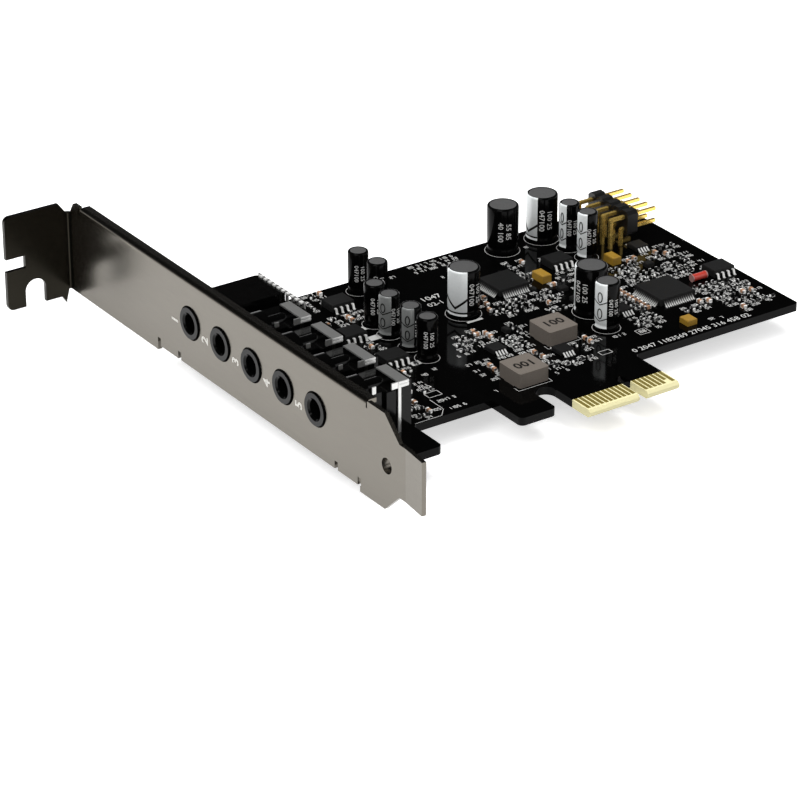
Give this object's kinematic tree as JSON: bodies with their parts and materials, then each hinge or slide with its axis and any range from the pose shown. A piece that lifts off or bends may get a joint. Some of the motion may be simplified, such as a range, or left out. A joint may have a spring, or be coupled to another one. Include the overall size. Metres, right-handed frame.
{
  "type": "pci express sound card",
  "caption": "Internal computer sound card: black board with a one-lane edge connector, upright capacitors and chips, and a full-height bracket with round audio jacks.",
  "frame": {"origin": "middle of the key notch of the edge connector, on the line of the contact edge and on the component face of the board", "axes": "+Z out of the component side, +X along the board away from the bracket, +Y from the contact edge towards the bracket's screw tab"},
  "size_m": [0.12, 0.12, 0.0211],
  "materials": {
    "bracket_steel": "satin gun-metal plated sheet steel",
    "capacitor_sleeve": "black shrunk sleeve over an aluminium can",
    "ceramic_body": "tan ceramic",
    "chip_plastic": "matt moulded epoxy",
    "diode_glass": "red lacquered glass",
    "gold": "gold-plated contact metal",
    "header_plastic": "black moulded plastic",
    "inductor_ferrite": "pressed iron-powder block",
    "jack_plastic": "black moulded plastic",
    "lead_metal": "tinned leads",
    "resistor_body": "black film on ceramic",
    "screw_steel": "plain steel",
    "solder": "solder",
    "solder_mask": "glossy black solder mask on glass-epoxy board",
    "tantalum_block": "amber moulded block",
    "tinned_terminal": "tinned sheet"
  },
  "bodies": {
    "root": {"amplifier_1": "chip_plastic", "amplifier_2": "chip_plastic", "amplifier_3": "chip_plastic", "amplifier_4": "chip_plastic", "bracket": "bracket_steel", "bracket_screws": "screw_steel", "capacitor_01": "capacitor_sleeve", "capacitor_02": "capacitor_sleeve", "capacitor_03": "capacitor_sleeve", "capacitor_04": "capacitor_sleeve", "capacitor_05": "capacitor_sleeve", "capacitor_06": "capacitor_sleeve", "capacitor_07": "capacitor_sleeve", "capacitor_08": "capacitor_sleeve", "capacitor_09": "capacitor_sleeve", "capacitor_10": "capacitor_sleeve", "capacitor_11": "capacitor_sleeve", "capacitor_12": "capacitor_sleeve", "capacitor_13": "capacitor_sleeve", "chip_ceramics": "ceramic_body", "chip_resistors": "resistor_body", "circuit_board": "solder_mask", "codec_chip": "chip_plastic", "codec_leads": "lead_metal", "controller_chip": "chip_plastic", "controller_leads": "lead_metal", "crystal": "tantalum_block", "edge_contacts": "gold", "eight_pin_leads": "lead_metal", "glass_diode": "diode_glass", "header_housing": "header_plastic", "header_pins": "gold", "inductor_1": "inductor_ferrite", "inductor_2": "inductor_ferrite", "jack_comb": "tinned_terminal", "jack_housing_1": "jack_plastic", "jack_housing_2": "jack_plastic", "jack_housing_3": "jack_plastic", "jack_housing_4": "jack_plastic", "jack_housing_5": "jack_plastic", "jack_terminal_2": "tinned_terminal", "jack_terminal_3": "tinned_terminal", "jack_terminal_4": "tinned_terminal", "jack_terminal_5": "tinned_terminal", "memory_chip": "chip_plastic", "regulator_1": "chip_plastic", "regulator_2": "chip_plastic", "regulator_3": "chip_plastic", "regulator_4": "chip_plastic", "regulator_leads": "lead_metal", "solder_joints": "solder", "tantalum_1": "tantalum_block", "tantalum_2": "tantalum_block", "transistor_1": "chip_plastic", "transistor_2": "chip_plastic", "transistor_3": "chip_plastic", "transistor_4": "chip_plastic"}
  },
  "joints": []
}
